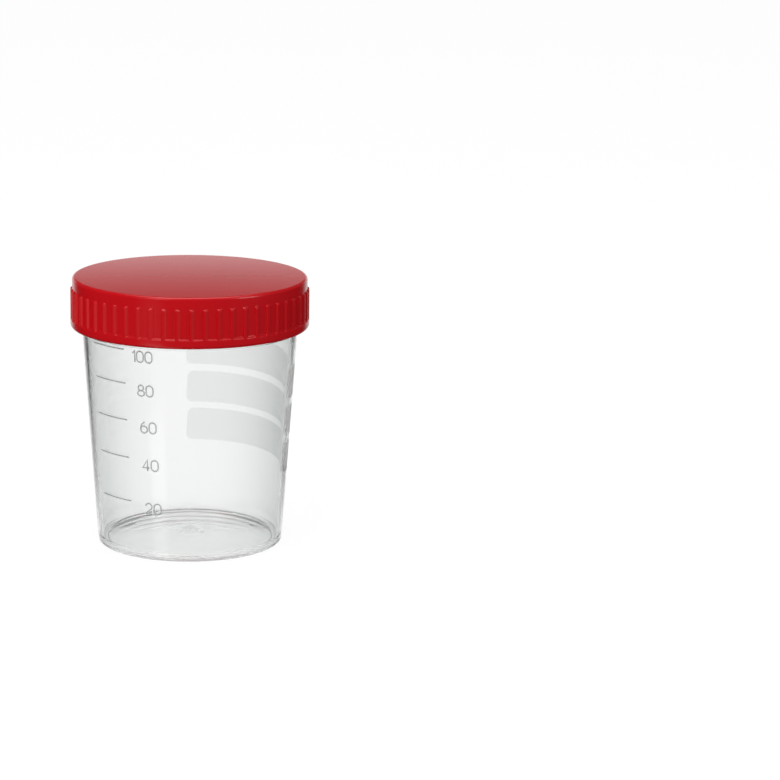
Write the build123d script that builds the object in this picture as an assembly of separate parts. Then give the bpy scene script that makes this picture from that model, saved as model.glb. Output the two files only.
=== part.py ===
from build123d import *
import os

# Specimen container of about 120 ml: a clear cup with a screw neck and a ribbed screw cap.
# Millimetres. Origin on the axis, at the plane that the cup stands on. +Z runs up the axis.
# Angles round the axis are counted from -Y, the front, positive towards +X.

# Heights from the standing plane
TOTAL_HEIGHT = 69.7
CAP_HEIGHT = 13.4
SHOULDER_GAP = 0.8

# Cup body: a drafted wall of even thickness over a floor that a low ring lifts off the table
BASE_RADIUS = 23.72
WALL_SLOPE = 0.0683
WALL = 1.25
FLOOR = 1.15
STAND_HEIGHT = 0.5
STAND_WIDTH = 1.5
BASE_CORNER = 0.8
FLOOR_CHAMFER = 0.4

# Gate in the middle of the floor: a dimple below, a dome of the same height above
GATE_RADIUS = 3.3
GATE_CROWN_RADIUS = 1.5
GATE_RISE = 1.0
NIB_RADIUS = 0.6
NIB_LENGTH = 0.4

# Neck
NECK_STEP = 0.2
NECK_WALL = 1.0
RIM_CHAMFER = 0.3

# Thread: right-handed, one start, the same ridge on the cup and in the cap
PITCH = 4.0
THREAD_DEPTH = 1.0
THREAD_FOOT = 1.5
THREAD_CREST = 0.6
THREAD_SINK = 0.3
THREAD_ANGLE = 200.0
THREAD_ABOVE_SHOULDER = 3.7
CUP_THREAD_TURNS = 1.5
CAP_THREAD_TURNS = 1.2
CAP_THREAD_DELAY = 50.0

# Clearances between the cap and the cup
CREST_CLEARANCE = 0.2
FLANK_CLEARANCE = 0.15
RIM_CLEARANCE = 0.05
SEAL_CLEARANCE = 0.1

# Cap
CAP_WALL = 1.5
CAP_TOP = 1.4
TOP_ROUNDING = 0.75
LOWER_ROUNDING = 1.0
SEAL_DEPTH = 3.0
SEAL_WALL = 0.9
SEAL_LEAD = 0.4

# Grip ribs, between the plain band under the cap's top and the plain ring round its mouth.
# Their backs lie just inside the ring's face.
RIB_COUNT = 55
RIB_HEIGHT = 0.45
RIB_FOOT = 1.5
RIB_BACK = 0.8
RIB_END = 0.4
RIB_ANGLE = 0.85
BAND_HEIGHT = 3.4
RING_HEIGHT = 2.4
RING_STEP = 0.5

# Raised graduation lines on the outside of the cup: volume in ml, height as a share of the shoulder's
TICK_SHARES = {20: 0.272, 40: 0.478, 60: 0.656, 80: 0.828, 100: 0.986}
TICK_ANGLES = (-61.5, -37.0)
TICK_WIDTH = 0.35
TICK_RAISE = 0.15

# Each rounding in a turned section is drawn as this many flats
FLAT_COUNT = 2

# Worked out from the sizes above
FLOOR_TOP = STAND_HEIGHT + FLOOR
CAP_BOTTOM = TOTAL_HEIGHT - CAP_HEIGHT
SHOULDER_HEIGHT = CAP_BOTTOM - SHOULDER_GAP
CAP_CEILING = TOTAL_HEIGHT - CAP_TOP
RIM_TOP = CAP_CEILING - RIM_CLEARANCE
SHOULDER_RADIUS = BASE_RADIUS + WALL_SLOPE * SHOULDER_HEIGHT
NECK_RADIUS = SHOULDER_RADIUS - NECK_STEP
MOUTH_RADIUS = NECK_RADIUS - NECK_WALL
SKIRT_RADIUS = NECK_RADIUS + THREAD_DEPTH + CREST_CLEARANCE
BAND_RADIUS = SKIRT_RADIUS + CAP_WALL
CAP_RADIUS = BAND_RADIUS + RING_STEP
SEAL_RADIUS = MOUTH_RADIUS - SEAL_CLEARANCE
LEDGE_HEIGHT = CAP_BOTTOM + RING_HEIGHT
RIB_TOP = TOTAL_HEIGHT - BAND_HEIGHT
THREAD_HEIGHT = SHOULDER_HEIGHT + THREAD_ABOVE_SHOULDER


def outer_radius(height):
    return BASE_RADIUS + WALL_SLOPE * height


def inner_radius(height):
    return outer_radius(height) - WALL


def to_angle(angle):
    """The turn that brings what is drawn at +X to this angle from the front."""
    return Rot(0, 0, angle - 90)


def turned(*corners):
    """A solid turned about the axis from its half section: corners of radius, height, rounding."""
    points = [(radius, 0, height) for radius, height, _ in corners]
    roundings = [rounding for _, _, rounding in corners]
    outline = []
    for edge in FilletPolyline(*points, radius=roundings, close=True).edges():
        flats = FLAT_COUNT if edge.geom_type == GeomType.CIRCLE else 1
        outline += [edge @ (flat / flats) for flat in range(flats)]
    return revolve(make_face(Polyline(*outline, close=True)), Axis.Z)


def thread_section(wall_radius, outward):
    """The ridge's section at +X: a trapezoid whose foot is sunk into the wall."""
    flank = (THREAD_FOOT - THREAD_CREST) / 2 / THREAD_DEPTH
    half_foot = THREAD_FOOT / 2 + flank * THREAD_SINK
    half_crest = THREAD_CREST / 2
    foot = wall_radius - outward * THREAD_SINK
    crest = wall_radius + outward * THREAD_DEPTH
    corners = [(foot, 0, -half_foot), (crest, 0, -half_crest), (crest, 0, half_crest), (foot, 0, half_foot)]
    return make_face(Polyline(*corners, close=True))


def thread(wall_radius, outward, turns):
    """A helical ridge, outward 1 or inward -1, whose ends swing round their foot into the wall."""
    section = thread_section(wall_radius, outward)
    helix = Helix(PITCH, PITCH * turns, wall_radius)
    ridge = sweep(section, path=helix, is_frenet=True)
    foot = Axis((wall_radius - outward * THREAD_SINK, 0, 0), (0, 0, outward))
    start = revolve(section, foot, revolution_arc=-90)
    end = revolve(section, foot, revolution_arc=90)
    return ridge + start + Pos(0, 0, PITCH * turns) * Rot(0, 0, 360 * turns) * end


def graduation_line(height):
    """A line that stands proud of the cup's wall and follows its cone."""
    low = height - TICK_WIDTH / 2
    high = height + TICK_WIDTH / 2
    sunk = WALL / 2
    corners = [
        (outer_radius(low) - sunk, 0, low),
        (outer_radius(low) + TICK_RAISE, 0, low),
        (outer_radius(high) + TICK_RAISE, 0, high),
        (outer_radius(high) - sunk, 0, high),
    ]
    section = make_face(Polyline(*corners, close=True))
    return to_angle(TICK_ANGLES[0]) * revolve(section, Axis.Z, TICK_ANGLES[1] - TICK_ANGLES[0])


def cup():
    """The cup, one moulding: drafted wall, floor in a standing ring, threaded neck, raised lines."""
    dimple = STAND_HEIGHT + GATE_RISE
    dome = FLOOR_TOP + GATE_RISE
    stand_inside = BASE_RADIUS - BASE_CORNER - STAND_WIDTH
    body = turned(
        (0, dimple, 0),
        (GATE_CROWN_RADIUS, dimple, 0),
        (GATE_RADIUS, STAND_HEIGHT, 0),
        (stand_inside, STAND_HEIGHT, 0),
        (stand_inside, 0, 0),
        (BASE_RADIUS, 0, BASE_CORNER),
        (SHOULDER_RADIUS, SHOULDER_HEIGHT, 0),
        (NECK_RADIUS, SHOULDER_HEIGHT, 0),
        (NECK_RADIUS, RIM_TOP - RIM_CHAMFER, 0),
        (NECK_RADIUS - RIM_CHAMFER, RIM_TOP, 0),
        (MOUTH_RADIUS + RIM_CHAMFER, RIM_TOP, 0),
        (MOUTH_RADIUS, RIM_TOP - RIM_CHAMFER, 0),
        (MOUTH_RADIUS, SHOULDER_HEIGHT, 0),
        (inner_radius(FLOOR_TOP + FLOOR_CHAMFER), FLOOR_TOP + FLOOR_CHAMFER, 0),
        (inner_radius(FLOOR_TOP) - FLOOR_CHAMFER, FLOOR_TOP, 0),
        (GATE_RADIUS, FLOOR_TOP, 0),
        (GATE_CROWN_RADIUS, dome, 0),
        (0, dome, 0),
    )
    upright = (Align.CENTER, Align.CENTER, Align.MIN)
    nib = Pos(0, 0, dimple - NIB_LENGTH) * Cylinder(NIB_RADIUS, NIB_LENGTH + FLOOR / 2, align=upright)
    ridge = Pos(0, 0, THREAD_HEIGHT) * to_angle(THREAD_ANGLE) * thread(NECK_RADIUS, 1, CUP_THREAD_TURNS)
    lines = [graduation_line(share * SHOULDER_HEIGHT) for share in TICK_SHARES.values()]
    return body + lines + nib + ridge


def rib():
    """One grip rib at +X: drafted flanks, a sloped upper end, a foot sunk into the cap's wall."""
    sunk = CAP_WALL / 2
    flank = (RIB_FOOT - RIB_BACK) / 2 / RIB_HEIGHT
    half_root = RIB_FOOT / 2 + flank * sunk
    start = CAP_BOTTOM + RING_HEIGHT / 2
    plan = [(-sunk, -half_root), (RIB_HEIGHT, -RIB_BACK / 2), (RIB_HEIGHT, RIB_BACK / 2), (-sunk, half_root)]
    bar = Pos(BAND_RADIUS, 0, start) * extrude(make_face(Polyline(*plan, close=True)), RIB_TOP - start)
    end = bar.faces().sort_by(Axis.Z)[-1].edges().sort_by(Axis.X)[-1]
    return chamfer(end, RIB_END)


def ribs():
    grip = rib()
    return [to_angle(RIB_ANGLE + 360 / RIB_COUNT * place) * grip for place in range(RIB_COUNT)]


def screw_cap():
    """The cap, one moulding: top, ribbed skirt with the thread inside, seal ring for the mouth."""
    seal_inside = SEAL_RADIUS - SEAL_WALL
    seal_bottom = CAP_CEILING - SEAL_DEPTH
    body = turned(
        (0, TOTAL_HEIGHT, 0),
        (BAND_RADIUS, TOTAL_HEIGHT, TOP_ROUNDING),
        (BAND_RADIUS, LEDGE_HEIGHT, 0),
        (CAP_RADIUS, LEDGE_HEIGHT, 0),
        (CAP_RADIUS, CAP_BOTTOM, LOWER_ROUNDING),
        (SKIRT_RADIUS, CAP_BOTTOM, 0),
        (SKIRT_RADIUS, CAP_CEILING, 0),
        (SEAL_RADIUS, CAP_CEILING, 0),
        (SEAL_RADIUS, seal_bottom + SEAL_LEAD, 0),
        (SEAL_RADIUS - SEAL_LEAD, seal_bottom, 0),
        (seal_inside, seal_bottom, 0),
        (seal_inside, CAP_CEILING, 0),
        (0, CAP_CEILING, 0),
    )
    # Where the two ridges overlap, half of one and half of the other add up to this much height,
    # whatever the radius. The cap's ridge lies that far below the cup's, and a clearance more.
    flank = (THREAD_FOOT - THREAD_CREST) / THREAD_DEPTH
    both_halves = THREAD_FOOT - flank * (THREAD_DEPTH + CREST_CLEARANCE) / 2
    height = THREAD_HEIGHT - both_halves - FLANK_CLEARANCE + PITCH * CAP_THREAD_DELAY / 360
    turn = to_angle(THREAD_ANGLE + CAP_THREAD_DELAY)
    ridge = Pos(0, 0, height) * turn * thread(SKIRT_RADIUS, -1, CAP_THREAD_TURNS)
    return body + ribs() + ridge


os.makedirs("parts", exist_ok=True)
export_step(cup(), "parts/cup.step")
export_step(screw_cap(), "parts/screw_cap.step")
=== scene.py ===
import bmesh
import bpy
import math
from mathutils import Matrix, Vector


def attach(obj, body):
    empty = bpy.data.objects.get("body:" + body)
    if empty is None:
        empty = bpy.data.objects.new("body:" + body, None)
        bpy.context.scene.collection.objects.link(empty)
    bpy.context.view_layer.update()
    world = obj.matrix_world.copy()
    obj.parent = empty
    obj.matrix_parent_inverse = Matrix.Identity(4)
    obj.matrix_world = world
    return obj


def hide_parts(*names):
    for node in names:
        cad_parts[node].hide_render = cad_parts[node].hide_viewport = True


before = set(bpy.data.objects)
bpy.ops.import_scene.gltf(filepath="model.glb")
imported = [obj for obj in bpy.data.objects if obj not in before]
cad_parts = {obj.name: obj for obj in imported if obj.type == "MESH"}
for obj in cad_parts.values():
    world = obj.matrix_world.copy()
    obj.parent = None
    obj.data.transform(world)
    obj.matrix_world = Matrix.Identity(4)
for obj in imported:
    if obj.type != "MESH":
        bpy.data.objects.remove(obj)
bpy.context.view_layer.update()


# The cup: one injection moulding in clear polypropylene. A drafted wall of even thickness stands on a
# floor that a low ring lifts off the bench; the gate's dome and dimple are in the floor's middle. The
# neck is thinner and carries a single-start, right-handed thread under the cap.
MM = 0.001
CUP_COLUMNS = 576
BASE_RADIUS = 23.72
WALL_SLOPE = 0.0683
WALL = 1.25
STAND_HEIGHT = 0.5
STAND_INSIDE = 21.42
FLOOR_TOP = 1.65
GATE_RADIUS = 3.3
DIMPLE_TOP = 1.5
DOME_TOP = 2.65
SHOULDER = 55.5
NECK_RADIUS = 27.31
MOUTH_RADIUS = 26.31
RIM_TOP = 68.25
PITCH = 4.0
# The share of a turn over which the thread's ends rise out of the wall
THREAD_FADE = 0.05
# One ridge of the thread: distance from its middle line, height over the wall
RIDGE = ((-0.77, 0.0), (-0.67, 0.06), (-0.35, 0.92), (-0.22, 1.0),
         (0.22, 1.0), (0.35, 0.92), (0.67, 0.06), (0.77, 0.0))
CUP_IOR = 1.49


def outside(height):
    return BASE_RADIUS + WALL_SLOPE * height


def inside(height):
    return outside(height) - WALL


def on_circle(radius, angle, height):
    """A point round the axis. Angles are in degrees from the front, -Y, positive towards +X."""
    turn = math.radians(angle)
    return (radius * math.sin(turn), -radius * math.cos(turn), height)


def smooth(value, start, end):
    """0 at start, 1 at end, smooth between them."""
    share = min(1, max(0, (value - start) / (end - start)))
    return share * share * (3 - 2 * share)


def rounded(corners, steps=6):
    """The half section of a turned shape, with its roundings drawn: corners of radius, height, rounding."""
    drawn = []
    for place, (radius, height, rounding) in enumerate(corners):
        corner = Vector((radius, height))
        if not rounding:
            drawn.append(tuple(corner))
            continue
        before = Vector(corners[place - 1][:2]) - corner
        after = Vector(corners[(place + 1) % len(corners)][:2]) - corner
        half = before.angle(after) / 2
        middle = corner + (before.normalized() + after.normalized()).normalized() * rounding / math.sin(half)
        start = corner + before.normalized() * rounding / math.tan(half) - middle
        end = corner + after.normalized() * rounding / math.tan(half) - middle
        sweep = start.angle_signed(end)
        for step in range(steps + 1):
            drawn.append(tuple(middle + Matrix.Rotation(-sweep * step / steps, 2) @ start))
    return drawn


class Moulding:
    """A moulded skin, built from rings of points in millimetres that start at the same angle."""

    def __init__(self, columns, first_angle=0.0):
        self.columns, self.first_angle = columns, first_angle
        self.points, self.faces = [], []

    def add(self, points):
        start = len(self.points)
        self.points += points
        return list(range(start, len(self.points)))

    def ring(self, radius, height):
        turn = 360 / self.columns
        return self.add([on_circle(radius, self.first_angle + turn * n, height) for n in range(self.columns)])

    def join(self, one, other):
        """The skin between two rings. The first may have a whole multiple of the other's points."""
        step = len(one) // len(other)
        for n in range(len(other)):
            edge = [one[(n * step + k) % len(one)] for k in range(step + 1)]
            self.faces.append(edge + [other[(n + 1) % len(other)], other[n]])

    def close(self, ring, height):
        """A fan from a ring to a point on the axis."""
        (middle,) = self.add([(0, 0, height)])
        self.faces += [[ring[n - 1], ring[n], middle] for n in range(len(ring))]

    def turn(self, section, start=None):
        """Rings through the section's points, each joined to the one before. Returns the last ring."""
        for radius, height in section:
            ring = self.ring(radius, height)
            if start:
                self.join(start, ring)
            start = ring
        return start

    def thread(self, bottom, top, radius, outward, start_column, start_height, turns):
        """The wall between two rings with a ridge that climbs it, outward 1 or inward -1."""
        last, laps, width = self.columns, math.ceil(turns), len(RIDGE)
        columns = [(start_column + n) % last for n in range(last)]
        rows = []
        for n in range(last):
            angle = self.first_angle + (start_column + n) * 360 / last
            row = []
            # The ridge comes round once more at the first row, above its last lap
            for lap in range(laps if n else laps + 1):
                run = lap + n / last
                rise = outward * smooth(min(run, turns - run), 0, THREAD_FADE)
                middle = start_height + PITCH * run
                row += self.add([on_circle(radius + rise * up, angle, middle + along) for along, up in RIDGE])
            rows.append(row)
        rows.append(rows[0][width:])
        for n in range(last):
            here, there = rows[n][:laps * width], rows[n + 1]
            for k in range(len(here) - 1):
                self.faces.append([here[k], there[k], there[k + 1], here[k + 1]])
            low = [bottom[columns[n]], bottom[columns[(n + 1) % last]]]
            high = [top[columns[n]], top[columns[(n + 1) % last]]]
            start_end = rows[0][:width] if n == last - 1 else []
            top_end = [] if n else rows[0][laps * width:]
            self.faces.append(low + start_end + [there[0], here[0]])
            self.faces.append(high + [there[-1], here[-1]] + top_end)

    def piece(self, name, finish, body, slot):
        mesh = bpy.data.meshes.new(name)
        mesh.from_pydata([Vector(point) * MM for point in self.points], [], self.faces)
        work = bmesh.new()
        work.from_mesh(mesh)
        bmesh.ops.recalc_face_normals(work, faces=work.faces)
        work.to_mesh(mesh)
        work.free()
        mesh.shade_smooth()
        mesh.materials.append(finish)
        made = bpy.data.objects.new(name, mesh)
        bpy.context.scene.collection.objects.link(made)
        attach(made, body)
        return made


class Value:
    """A socket's value in a node tree: arithmetic on it adds Math nodes."""

    def __init__(self, tree, socket):
        self.tree, self.socket = tree, socket

    def math(self, operation, *numbers):
        return node(self.tree, "Math", {"operation": operation}, dict(enumerate(numbers)))

    def __add__(self, other):
        return self.math("ADD", self, other)

    def __radd__(self, other):
        return self.math("ADD", other, self)

    def __sub__(self, other):
        return self.math("SUBTRACT", self, other)

    def __rsub__(self, other):
        return self.math("SUBTRACT", other, self)

    def __mul__(self, other):
        return self.math("MULTIPLY", self, other)

    def __rmul__(self, other):
        return self.math("MULTIPLY", other, self)

    def __abs__(self):
        return self.math("ABSOLUTE", self)

    def at_least(self, other):
        return self.math("MAXIMUM", self, other)

    def root(self):
        return self.math("SQRT", self)

    def angle_from(self, other):
        """The angle in radians from the other axis towards this one."""
        return self.math("ARCTAN2", self, other)

    def step(self, start, end):
        """0 before start, 1 after end, smooth between them. start may be the larger."""
        low, high, swap = min(start, end), max(start, end), start > end
        ends = {"From Min": low, "From Max": high, "To Min": float(swap), "To Max": float(not swap)}
        return node(self.tree, "MapRange", {"interpolation_type": "SMOOTHSTEP"}, {"Value": self, **ends})


def node(tree, kind, settings, sockets, output=0):
    """Any node: its settings are set first, then its sockets get values or links."""
    made = tree.nodes.new("ShaderNode" + kind)
    for key, value in settings.items():
        setattr(made, key, value)
    for key, value in sockets.items():
        if isinstance(value, Value):
            tree.links.new(value.socket, made.inputs[key])
        else:
            made.inputs[key].default_value = value
    return Value(tree, made.outputs[output])


def mix(tree, factor, one, other):
    """Between two colours."""
    return node(tree, "Mix", {"data_type": "RGBA"}, {"Factor": factor, 6: one, 7: other}, 2)


def axes(tree, vector):
    """A vector's x, y and z."""
    return [node(tree, "SeparateXYZ", {}, {0: vector}, axis) for axis in "XYZ"]


def new_finish(name):
    """A material, its tree, and the place on the piece in millimetres."""
    made = bpy.data.materials.new(name)
    made.use_nodes = True
    tree = made.node_tree
    tree.nodes.clear()
    place = node(tree, "TexCoord", {}, {}, "Object")
    place = node(tree, "VectorMath", {"operation": "SCALE"}, {0: place, "Scale": 1 / MM})
    return made, tree, place


def show(tree, shader, kind="Material"):
    """Links a shader to the tree's output."""
    end = tree.nodes.new("ShaderNodeOutput" + kind)
    tree.links.new(shader.socket, end.inputs["Surface"])


cup = Moulding(CUP_COLUMNS)
below_thread = cup.turn(rounded([
    (0.9, DIMPLE_TOP, 0), (1.9, DIMPLE_TOP, 0.7), (GATE_RADIUS, STAND_HEIGHT, 1.2),
    (STAND_INSIDE, STAND_HEIGHT, 0.3), (STAND_INSIDE, 0, 0.15), (BASE_RADIUS, 0, 0.8),
    (outside(SHOULDER), SHOULDER, 0.15), (NECK_RADIUS, SHOULDER, 0.1), (NECK_RADIUS, 57.8, 0),
]))
cup.close(list(range(CUP_COLUMNS)), DIMPLE_TOP)
above_thread = cup.ring(NECK_RADIUS, 67.6)
cup.thread(below_thread, above_thread, NECK_RADIUS, 1, start_column=320, start_height=59.2, turns=1.5)
dome = cup.turn(rounded([
    (NECK_RADIUS, 67.7, 0), (NECK_RADIUS, RIM_TOP, 0.4), (MOUTH_RADIUS, RIM_TOP, 0.4),
    (MOUTH_RADIUS, SHOULDER, 3.0), (inside(FLOOR_TOP), FLOOR_TOP, 0.8), (GATE_RADIUS, FLOOR_TOP, 1.2),
    (1.5, DOME_TOP, 0.8), (0.6, DOME_TOP, 0),
]), above_thread)
cup.close(dome, DOME_TOP)

clear, tree, place = new_finish("clear_polypropylene")
x, y, z = axes(tree, place)
radius = (x * x + y * y).root()

# The writing fields: three bands on the cup's outside, from the right round to the back, that the mould's
# ground surface leaves frosted for a pen. Their corners are round, and clear strips part them.
FIELDS = ((19.2, 27.4), (29.0, 37.0), (38.8, 47.3))
FIELD_START, FIELD_END = 71.5, 182.0
FIELD_CORNER, FIELD_BLUR = 1.6, 0.08
# Where the wall's outside begins, as a radius at the cup's foot
SKIN_START, SKIN_END = 23.0, 23.3
FROST = (0.78, 0.80, 0.79, 1)
CLEAR = (0.985, 0.992, 0.988, 1)
# The grey at the wall's edges: partly the plastic's tint, partly painted shade
EDGE_GREY_SHADE = (0.80, 0.82, 0.81, 1)
along = y.angle_from(x) * (180 / math.pi) + 90
along = along + 360 * (1 - along.step(-0.001, 0.0))
along = abs(along - (FIELD_START + FIELD_END) / 2) * radius * (math.pi / 180)
frost = None
for low, high in FIELDS:
    half_length = outside((low + high) / 2) * math.radians(FIELD_END - FIELD_START) / 2
    beside = (along - (half_length - FIELD_CORNER)).at_least(0)
    over = (abs(z - (low + high) / 2) - ((high - low) / 2 - FIELD_CORNER)).at_least(0)
    field = (beside * beside + over * over).root().step(FIELD_CORNER + FIELD_BLUR, FIELD_CORNER - FIELD_BLUR)
    frost = field if frost is None else frost.at_least(field)
frost = frost * (radius - z * WALL_SLOPE).step(SKIN_START, SKIN_END)
grain = node(tree, "TexNoise", {}, {"Vector": place, "Scale": 1.4, "Detail": 4.0})
# Painted shade: the plastic turns grey where the eye looks along the wall, partly its own tint over the
# longer way through it and partly shade painted on the cup's edges
facing = node(tree, "LayerWeight", {}, {"Blend": 0.5}, "Facing")
through = mix(tree, facing.step(0.0, 0.6), CLEAR, EDGE_GREY_SHADE)
show(tree, node(tree, "BsdfPrincipled", {}, {
    "Base Color": mix(tree, frost * (0.9 + grain * 0.2), through, FROST),
    "Roughness": 0.03 + frost * 0.4,
    "Normal": node(tree, "Bump", {}, {"Height": grain * frost * 0.02, "Strength": 0.3, "Distance": MM}),
    "Transmission Weight": 0.98,
    "IOR": CUP_IOR,
}))
cup_piece = cup.piece("cup_moulding", clear, "cup", "clear_plastic")
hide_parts("cup")


# The scale: five fine lines and their numerals, 20 to 100 ml, cut into the mould and so raised a twentieth
# of a millimetre on the cup's outside. Each is a rounded ridge of one width, in the cup's own plastic.
LINE_START, LINE_END, LINE_STEPS = -61.5, -37.0, 24
# For each volume: the height of its line, and the angle at which its numeral starts
SCALE = {20: (15.1, -27.1), 40: (26.55, -27.9), 60: (36.4, -28.3), 80: (45.95, -29.3), 100: (54.7, -31.5)}
DIGIT_HEIGHT, DIGIT_WIDTH, ONE_WIDTH, DIGIT_GAP = 2.8, 1.85, 0.62, 0.5
# Across a ridge: distance from its middle line, height over the wall
STROKE = ((-0.18, -0.08), (-0.16, 0.0), (-0.09, 0.055), (0.09, 0.055), (0.16, 0.0), (0.18, -0.08))
MITRE_LIMIT = 1.7
MARK_DARK = (0.66, 0.68, 0.67, 1)
MARK_PALE = (0.74, 0.76, 0.75, 1)


def arc(middle_x, middle_y, wide, high, start, end, steps=20):
    """Points on an ellipse, in degrees from its right, counter-clockwise."""
    turns = [math.radians(start + (end - start) * n / steps) for n in range(steps + 1)]
    return [(middle_x + wide * math.cos(t), middle_y + high * math.sin(t)) for t in turns]


def loop(middle_x, middle_y, wide, high):
    """A closed ellipse, which starts at its right."""
    return (arc(middle_x, middle_y, wide, high, 0, 360 - 18), True)


def numeral(digit):
    """A digit's strokes: the points of each, from its lower left corner, and whether it is closed."""
    if digit == "0":
        sides = arc(0.925, 1.875, 0.925, 0.925, 0, 180) + arc(0.925, 0.925, 0.925, 0.925, 180, 360)
        return [(sides, True)]
    if digit == "1":
        return [([(0.0, 2.2), (ONE_WIDTH, DIGIT_HEIGHT), (ONE_WIDTH, 0.0)], False)]
    if digit == "2":
        return [(arc(0.9, 1.95, 0.85, 0.85, 170, -35) + [(0.0, 0.0), (DIGIT_WIDTH, 0.0)], False)]
    if digit == "4":
        return [([(1.35, 0.0), (1.35, DIGIT_HEIGHT), (0.0, 0.72), (DIGIT_WIDTH, 0.72)], False)]
    if digit == "6":
        return [loop(0.92, 0.9, 0.92, 0.9), (arc(1.3, 0.95, 1.3, 1.85, 180, 95, 12), False)]
    return [loop(0.92, 2.1, 0.72, 0.7), loop(0.92, 0.72, 0.92, 0.72)]


def on_wall(angle, height, lift):
    return Vector(on_circle(outside(height) + lift, angle, height))


class Marks(Moulding):
    """Ridges that lie along lines on the cup's wall."""

    def ridge(self, line, closed):
        """A ridge along a line of points of angle and height."""
        wall = [on_wall(angle, height, 0) for angle, height in line]
        outward = [(on_wall(angle, height, 1) - at).normalized() for (angle, height), at in zip(line, wall)]
        count, sections = len(line), []
        for n in range(count):
            before = (wall[n] - wall[n - 1]).normalized() if n or closed else None
            after = (wall[(n + 1) % count] - wall[n]).normalized() if n < count - 1 or closed else before
            before = before or after
            along = (before + after).normalized()
            side = along.cross(outward[n]) * min(MITRE_LIMIT, 1 / max(0.3, along.dot(after)))
            section = [tuple(wall[n] + side * across + outward[n] * up) for across, up in STROKE]
            sections.append(self.add(section))
        for n in range(count if closed else count - 1):
            here, there = sections[n], sections[(n + 1) % count]
            for k in range(len(STROKE)):
                self.faces.append([here[k - 1], here[k], there[k], there[k - 1]])
        if not closed:
            self.faces += [sections[0], sections[-1][::-1]]


marks = Marks(CUP_COLUMNS)
for volume, (height, first_angle) in SCALE.items():
    angles = [LINE_START + (LINE_END - LINE_START) * n / LINE_STEPS for n in range(LINE_STEPS + 1)]
    marks.ridge([(angle, height) for angle in angles], False)
    shift = 0.0
    for digit in str(volume):
        for stroke, closed in numeral(digit):
            line = []
            for across, up in stroke:
                level = height - DIGIT_HEIGHT + up
                line.append((first_angle + math.degrees((shift + across) / outside(level)), level))
            marks.ridge(line, closed)
        shift += (ONE_WIDTH if digit == "1" else DIGIT_WIDTH) + DIGIT_GAP

moulded, tree, place = new_finish("raised_marks")
grain = node(tree, "TexNoise", {}, {"Vector": place, "Scale": 3.0, "Detail": 3.0})
show(tree, node(tree, "BsdfPrincipled", {}, {
    "Base Color": mix(tree, grain, MARK_DARK, MARK_PALE),
    "Roughness": 0.35 + grain * 0.2,
    "Transmission Weight": 0.5,
    "IOR": CUP_IOR,
}))
marks.piece("scale_marks", moulded, "cup", "clear_plastic")


# The cap: one injection moulding in red high-density polyethylene. Under a plain band the skirt has
# 55 upright grip ribs that grow out of a plain ring round the mouth; the thread is inside the skirt, and
# a thin ring under the top plugs the cup's mouth. Its top is crowned a little by the cooling of the skin.
CAP_BOTTOM = 56.3
LEDGE = 58.7
RIB_TOP = 66.3
CAP_CEILING = 68.3
CAP_TOP = 69.7
BAND_RADIUS = 30.01
GRIP_STEP = 0.5
CAP_RADIUS = BAND_RADIUS + GRIP_STEP
MOUTH_EDGE = 28.9
SKIRT_RADIUS = 28.51
SEAL_RADIUS = 26.21
SEAL_INSIDE = 25.31
SEAL_BOTTOM = 65.3
CROWN, CROWN_RADIUS = 0.4, 29.26
RIB_COUNT = 55
RIB_ANGLE = 0.85
RIB_TURN = 360 / RIB_COUNT
RIB_PITCH = 2 * math.pi * BAND_RADIUS / RIB_COUNT
CAP_COLUMNS = RIB_COUNT * 4
# Columns over one rib and one groove, as distances from the rib's middle; rows up the grip
ACROSS = (-1.25, -0.95, -0.82, -0.76, -0.71, -0.66, -0.61, -0.56, -0.5, -0.35, -0.2, -0.1,
          0.0, 0.1, 0.2, 0.3, 0.4, 0.5, 0.6, 0.68, 0.76, 0.9, 1.2, 1.55)
ROWS = (58.2, 58.35, 58.45, 58.55, 58.63, 58.7, 58.78, 58.88, 59.0, 59.15, 59.35, 59.6, 59.9,
        60.5, 62.0, 64.0, 65.3, 65.6, 65.8, 65.92, 66.02, 66.12, 66.22, 66.32, 66.42, 66.55)
RED_DEEP = (0.45, 0.0006, 0.004, 1)
RED_FULL = (0.48, 0.0008, 0.005, 1)
# The colour of the painted highlight on the ribs' right-hand flanks
RED_PAINTED_HIGHLIGHT = (0.53, 0.012, 0.014, 1)


def grip_rise(across, height):
    """How far the grip stands out of the band's face: a ring with fingers that slope off to their right."""
    finger = smooth(across, -0.8, -0.55) * smooth(across, 0.72, -0.1)
    finger *= smooth(height, RIB_TOP + 0.1, RIB_TOP - 0.3)
    ring = smooth(height, LEDGE + 0.25, LEDGE - 0.2)
    return GRIP_STEP * (1 - (1 - finger) * (1 - ring))


cap = Moulding(CAP_COLUMNS, RIB_ANGLE + RIB_TURN * ACROSS[0] / RIB_PITCH)
below_grip = cap.turn(rounded([
    (MOUTH_EDGE, CAP_BOTTOM, 0), (CAP_RADIUS, CAP_BOTTOM, 1.0), (CAP_RADIUS, 58.0, 0),
], 8)[:-1])
mouth = list(range(CAP_COLUMNS))
grip = None
for height in ROWS:
    row = []
    for rib in range(RIB_COUNT):
        for across in ACROSS:
            angle = RIB_ANGLE + RIB_TURN * (rib + across / RIB_PITCH)
            row.append(on_circle(BAND_RADIUS + grip_rise(across, height), angle, height))
    row = cap.add(row)
    if grip:
        cap.join(grip, row)
    else:
        cap.join(row, below_grip)
    grip = row
band_section = rounded([
    (BAND_RADIUS, 66.8, 0), (BAND_RADIUS, CAP_TOP - CROWN, 0.75), (28.0, CAP_TOP - CROWN, 0),
], 8)[:-1]
band = cap.ring(*band_section[0])
cap.join(grip, band)
shell = cap.turn(band_section[1:], band)
crown_radii = (29.0, 28.0, 26.0, 23.0, 19.0, 14.0, 9.0, 4.0)
shell = cap.turn([(r, CAP_TOP - CROWN * (r / CROWN_RADIUS) ** 2) for r in crown_radii], shell)
cap.close(shell, CAP_TOP)
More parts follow.
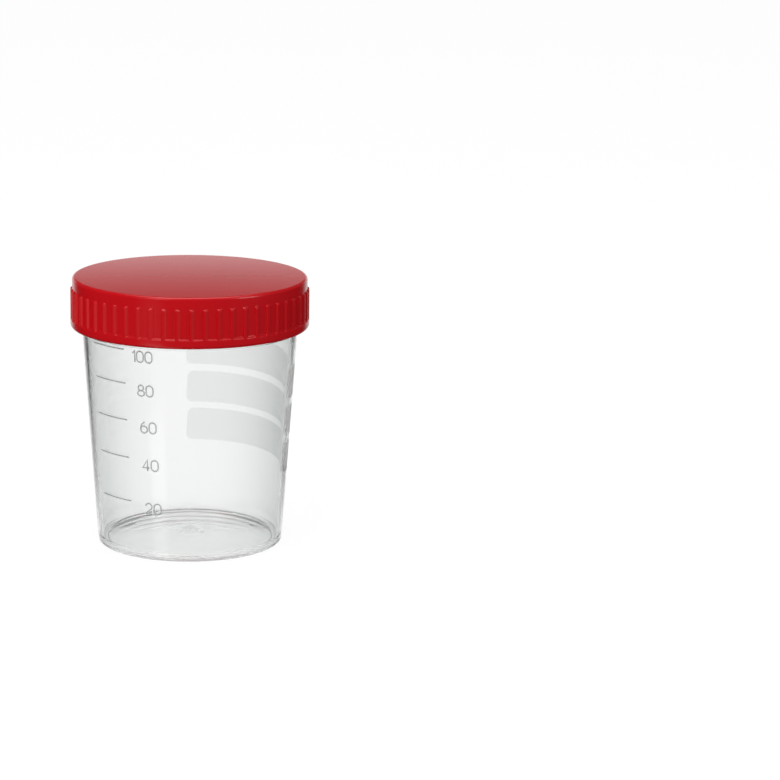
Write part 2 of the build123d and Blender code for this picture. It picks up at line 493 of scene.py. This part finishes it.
below_thread = cap.turn(rounded([
    (MOUTH_EDGE, CAP_BOTTOM, 0), (SKIRT_RADIUS, CAP_BOTTOM, 0.3), (SKIRT_RADIUS, 56.9, 0),
])[1:], mouth)
above_thread = cap.ring(SKIRT_RADIUS, 67.8)
cap.thread(below_thread, above_thread, SKIRT_RADIUS, -1, start_column=152, start_height=58.51, turns=1.2)
ceiling = cap.turn(rounded([
    (SKIRT_RADIUS, 67.85, 0), (SKIRT_RADIUS, CAP_CEILING, 0.4), (SEAL_RADIUS, CAP_CEILING, 0.2),
    (SEAL_RADIUS, SEAL_BOTTOM, 0.4), (SEAL_INSIDE, SEAL_BOTTOM, 0.4), (SEAL_INSIDE, CAP_CEILING, 0.4),
    (20.0, CAP_CEILING, 0),
]), above_thread)
cap.close(ceiling, CAP_CEILING)

red, tree, place = new_finish("red_polyethylene")
x, y, z = axes(tree, place)
cloud = node(tree, "TexNoise", {}, {"Vector": place, "Scale": 0.06, "Detail": 3.0})
haze = node(tree, "TexNoise", {}, {"Vector": place, "Scale": 0.35, "Detail": 5.0, "Roughness": 0.6})
# A painted highlight: a slightly paler strip on the right-hand side of each rib, standing in for the light
# along that flank
across = (x.angle_from(-1 * y) * (180 / math.pi) + (720 - RIB_ANGLE)) * (RIB_COUNT / 360)
across = (across.math("FRACT", across + 0.5) - 0.5) * RIB_PITCH
rib_highlight = abs(across - 0.28).step(0.42, 0.1)
rib_highlight = rib_highlight * z.step(LEDGE - 0.2, LEDGE + 0.6) * z.step(RIB_TOP + 0.05, RIB_TOP - 0.3)
# The base colour carries the painted highlight on the ribs
show(tree, node(tree, "BsdfPrincipled", {}, {
    "Base Color": mix(tree, rib_highlight * (0.75 + haze * 0.5), mix(tree, cloud, RED_DEEP, RED_FULL), RED_PAINTED_HIGHLIGHT),
    "Roughness": 0.22 + haze * 0.01,
    "IOR": 1.54,
}))
cap_piece = cap.piece("cap_moulding", red, "cap", "red_plastic")
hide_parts("screw_cap")


# The stage: a white sweep. The floor takes the container's soft shadow, and the studio behind it is white
# for what is seen directly, through the clear plastic or mirrored near the horizon; elsewhere it is dim.
FLOOR_REACH = 3.0
FLOOR_DROP = 0.02
WHITE = 0.95
# Through the clear plastic the studio's front is this dark, against 1 for its back
FRONT_DARK = 0.1
WINDOW_ANGLE = 38
STUDIO_LEVEL = 0.45
LAMP_AIM = (0, 0, 0.045)
CAMERA_PLACE = (0, -0.756755, 0.21235)
CAMERA_TURN, CAMERA_TILT, CAMERA_ROLL = -3.9, 12.853, 0.863


def rays(tree, *kinds):
    """For each kind of ray, 1 where the ray is of that kind and 0 where it isn't."""
    return [node(tree, "LightPath", {}, {}, f"Is {kind} Ray") for kind in kinds]


floor = bpy.data.meshes.new("floor")
floor_corners = [(-FLOOR_REACH, -FLOOR_REACH, 0), (FLOOR_REACH, -FLOOR_REACH, 0),
                 (FLOOR_REACH, FLOOR_REACH, 0), (-FLOOR_REACH, FLOOR_REACH, 0)]
floor.from_pydata(floor_corners, [], [(0, 1, 2, 3)])
paper, tree, place = new_finish("white_paper")
x, y, z = axes(tree, place)
camera_ray, glossy_ray, through_ray, diffuse_ray = rays(tree, "Camera", "Glossy", "Transmission", "Diffuse")
seen = camera_ray.at_least(glossy_ray)
seen = seen.at_least(through_ray * (FRONT_DARK + (1 - FRONT_DARK) * y.step(-90, -30)))
seen = seen.at_least(diffuse_ray * 0.5)
sheet = node(tree, "BsdfDiffuse", {}, {"Color": (0.06, 0.06, 0.06, 1)})
glow = node(tree, "Emission", {}, {"Strength": seen * WHITE})
show(tree, node(tree, "AddShader", {}, {0: sheet, 1: glow}))
paper.cycles.emission_sampling = "NONE"
floor.materials.append(paper)
floor_piece = bpy.data.objects.new("floor", floor)
floor_piece.location.z = -FLOOR_DROP * MM
floor_piece.visible_glossy = False
bpy.context.scene.collection.objects.link(floor_piece)

world = bpy.data.worlds.new("studio")
world.use_nodes = True
tree = world.node_tree
tree.nodes.clear()
camera_ray, glossy_ray, through_ray = rays(tree, "Camera", "Glossy", "Transmission")
x, y, z = axes(tree, node(tree, "TexCoord", {}, {}, "Generated"))
# What the plastic mirrors: the backdrop near the horizon, and a tall window to the left of the front
backdrop = y.step(0.8, 0.93) * z.step(0.225, 0.115)
window = abs(x.angle_from(-1 * y) + math.radians(WINDOW_ANGLE)).step(math.radians(13), math.radians(5))
window = window * (0.15 + z.step(-0.27, -0.34) + 2 * z.step(0.35, 0.6))
mirrored = 0.01 + 0.045 * z.step(-0.02, 0.1) + backdrop + window
white = camera_ray.at_least(through_ray * (FRONT_DARK + (1 - FRONT_DARK) * y.step(-0.3, 0.3)))
strength = white + (1 - white) * (glossy_ray * mirrored + (1 - glossy_ray) * STUDIO_LEVEL)
show(tree, node(tree, "Background", {}, {"Color": (1, 1, 1, 1), "Strength": strength}), "World")
world.cycles.sampling_method = "NONE"
bpy.context.scene.world = world


def softbox(name, place, size, power):
    light = bpy.data.lights.new(name, "AREA")
    light.shape, light.size, light.size_y, light.energy = "RECTANGLE", *size, power
    made = bpy.data.objects.new(name, light)
    made.location = place
    made.rotation_euler = (Vector(LAMP_AIM) - Vector(place)).to_track_quat("-Z", "Y").to_euler()
    made.visible_camera = False
    made.visible_transmission = False
    bpy.context.scene.collection.objects.link(made)
    return made


key = softbox("front_left", (-0.55, -0.8, 0.5), (0.7, 0.7), 7.9)
key.visible_glossy = False
softbox("right", (0.85, -0.5, 0.45), (0.3, 0.6), 2.0)
softbox("overhead", (0.0, 0.1, 1.0), (0.8, 0.8), 4.2)

camera_data = bpy.data.cameras.new("camera")
camera_data.lens = 138.78
camera_data.sensor_width = 36.0
camera_data.clip_start = 0.01
camera = bpy.data.objects.new("camera", camera_data)
camera.rotation_mode = "XYZ"
turned = Matrix.Rotation(math.radians(CAMERA_TURN), 4, "Z")
turned = turned @ Matrix.Rotation(math.radians(90 - CAMERA_TILT), 4, "X")
turned = Matrix.Translation(CAMERA_PLACE) @ turned
camera.matrix_world = turned @ Matrix.Rotation(math.radians(CAMERA_ROLL), 4, "Z")
bpy.context.scene.collection.objects.link(camera)
bpy.context.scene.camera = camera
bpy.context.scene.view_settings.view_transform = "Standard"

# Light that runs inside the clear wall is followed until it comes out
light_paths = bpy.context.scene.cycles
light_paths.max_bounces = light_paths.glossy_bounces = light_paths.transmission_bounces = 32
